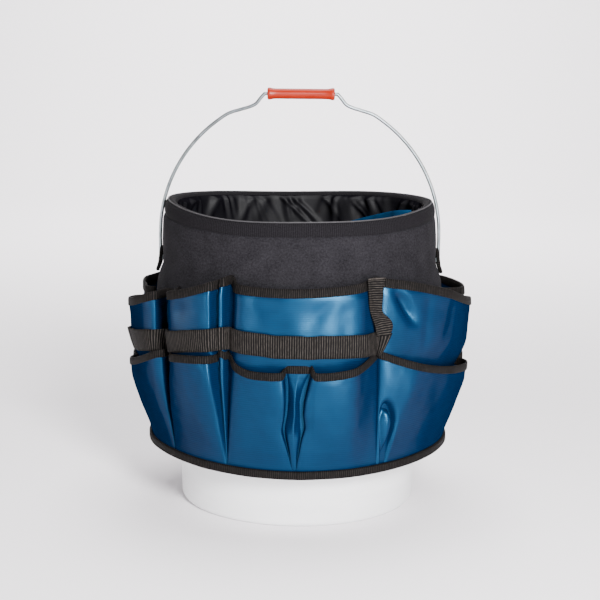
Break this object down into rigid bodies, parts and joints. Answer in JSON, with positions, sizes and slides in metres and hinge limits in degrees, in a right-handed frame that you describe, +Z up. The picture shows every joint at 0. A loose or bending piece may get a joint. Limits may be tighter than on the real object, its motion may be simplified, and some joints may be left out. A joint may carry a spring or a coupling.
{
  "type": "tool bucket organizer",
  "caption": "Fabric tool organizer with tiers of blue outer pockets and a padded black cuff, fitted over a white plastic bucket with a wire bail and a turning grip.",
  "frame": {"origin": "on the floor under the middle of the bucket", "axes": "+Z up along the bucket's axis, -Y towards the front with the two narrow middle pockets, +X along the bail's pivot axis"},
  "size_m": [0.3942, 0.3752, 0.4847],
  "materials": {
    "bucket": "smooth moulded polyethylene, satin",
    "steel": "galvanised wire",
    "grip": "semi-gloss orange-red",
    "cuff": "matt charcoal polyester over foam",
    "lining": "glossy black nylon",
    "pocket": "blue oxford nylon with a sheen",
    "webbing": "ribbed black webbing and binding tape"
  },
  "bodies": {
    "bucket_and_organizer": {"bucket_shell": "bucket", "rim_binding": "webbing", "outer_cuff": "cuff", "ear_window_binding_left": "webbing", "ear_window_binding_right": "webbing", "skirt_backing": "cuff", "hem_binding": "webbing", "inner_liner": "lining", "liner_hem": "webbing", "upper_pocket_front_1": "pocket", "upper_pocket_front_1_binding": "webbing", "upper_pocket_front_2": "pocket", "upper_pocket_front_2_binding": "webbing", "upper_pocket_front_3": "pocket", "upper_pocket_front_3_binding": "webbing", "upper_pocket_front_4": "pocket", "upper_pocket_front_4_binding": "webbing", "lower_pocket_front_1": "pocket", "lower_pocket_front_1_binding": "webbing", "lower_pocket_front_2": "pocket", "lower_pocket_front_2_binding": "webbing", "lower_pocket_front_3": "pocket", "lower_pocket_front_3_binding": "webbing", "lower_pocket_front_4": "pocket", "lower_pocket_front_4_binding": "webbing", "lower_pocket_front_5": "pocket", "lower_pocket_front_5_binding": "webbing", "tool_strap_front": "webbing", "strap_tail_front": "webbing", "upper_pocket_back_1": "pocket", "upper_pocket_back_1_binding": "webbing", "upper_pocket_back_2": "pocket", "upper_pocket_back_2_binding": "webbing", "upper_pocket_back_3": "pocket", "upper_pocket_back_3_binding": "webbing", "upper_pocket_back_4": "pocket", "upper_pocket_back_4_binding": "webbing", "lower_pocket_back_1": "pocket", "lower_pocket_back_1_binding": "webbing", "lower_pocket_back_2": "pocket", "lower_pocket_back_2_binding": "webbing", "lower_pocket_back_3": "pocket", "lower_pocket_back_3_binding": "webbing", "lower_pocket_back_4": "pocket", "lower_pocket_back_4_binding": "webbing", "lower_pocket_back_5": "pocket", "lower_pocket_back_5_binding": "webbing", "tool_strap_back": "webbing", "strap_tail_back": "webbing", "inner_pocket_front": "pocket", "inner_pocket_right": "pocket", "inner_sleeve_back_right": "pocket", "inner_pocket_back": "pocket", "inner_pocket_back_left": "pocket", "inner_pocket_front_left": "pocket"},
    "bail": {"bail_wire": "steel"},
    "grip": {"bail_grip": "grip"}
  },
  "joints": [
    {"name": "bail_swing", "type": "hinge", "parent": "bucket_and_organizer", "child": "bail", "pos_m": [0, 0, 0.284], "axis": [1, 0, 0], "range_deg": [-85, 85]},
    {"name": "grip_spin", "type": "hinge", "parent": "bail", "child": "grip", "pos_m": [0, 0, 0.4775], "axis": [1, 0, 0], "continuous": true}
  ]
}
